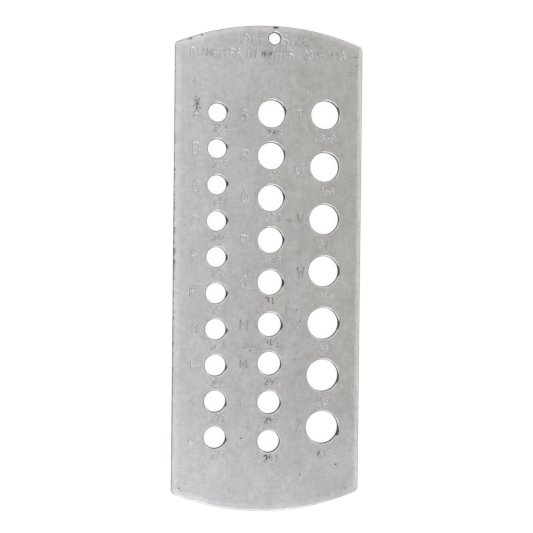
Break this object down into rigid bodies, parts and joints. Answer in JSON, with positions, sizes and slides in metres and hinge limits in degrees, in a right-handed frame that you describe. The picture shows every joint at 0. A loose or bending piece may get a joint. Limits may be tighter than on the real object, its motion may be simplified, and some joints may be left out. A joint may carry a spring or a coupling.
{
  "type": "drill size gauge",
  "caption": "Flat steel plate with arched ends and rows of graded round holes, each stamped with a drill letter and its size, for finding the size of a drill.",
  "frame": {"origin": "under the middle of the plate, on the plane of its back", "axes": "+X across the plate to the right as its face is read, +Y along it towards the hanging hole, +Z out of the stamped face"},
  "size_m": [0.061, 0.1568, 0.0024],
  "materials": {
    "steel": "dull satin bare steel with fine grain, stamped marks and light stains"
  },
  "bodies": {
    "root": {"gauge_plate": "steel"}
  },
  "joints": []
}
